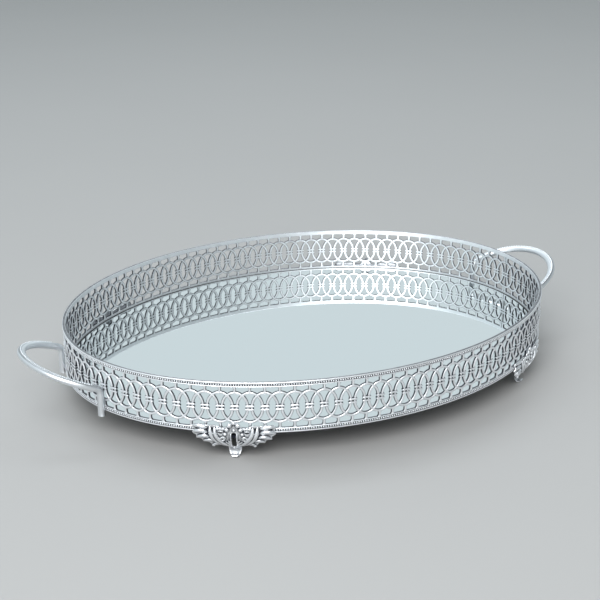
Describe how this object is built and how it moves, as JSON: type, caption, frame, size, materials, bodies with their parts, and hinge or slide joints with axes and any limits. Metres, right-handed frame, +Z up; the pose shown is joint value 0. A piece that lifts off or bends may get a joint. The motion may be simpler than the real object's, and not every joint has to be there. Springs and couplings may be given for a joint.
{
  "type": "serving tray",
  "caption": "Oval mirrored serving tray with a pierced silver gallery, two bow handles and cast leaf feet.",
  "frame": {"origin": "on the table plane under the centre of the oval", "axes": "+X runs through the two handles, +Y across the tray, +Z up"},
  "size_m": [0.454, 0.294, 0.057],
  "materials": {
    "silver_gallery": "satin silver plate, bright on the raised wires, darker in the grooves",
    "silver_handle": "satin silver plate with a finely milled ridge",
    "silver_foot": "satin silver plate on a casting, darker in the grooves",
    "pan_sheet": "satin black lacquer",
    "mirror_glass": "polished silvered glass",
    "bond_foam": "matt adhesive foam",
    "fastener_steel": "zinc plated"
  },
  "bodies": {
    "root": {"gallery_back": "silver_gallery", "gallery_front": "silver_gallery", "base_pan": "pan_sheet", "mirror_bond": "bond_foam", "mirror_glass": "mirror_glass", "handle_right": "silver_handle", "handle_left": "silver_handle", "foot_back_right": "silver_foot", "foot_back_left": "silver_foot", "foot_front_left": "silver_foot", "foot_front_right": "silver_foot", "foot_studs": "fastener_steel", "foot_nuts": "fastener_steel"}
  },
  "joints": []
}
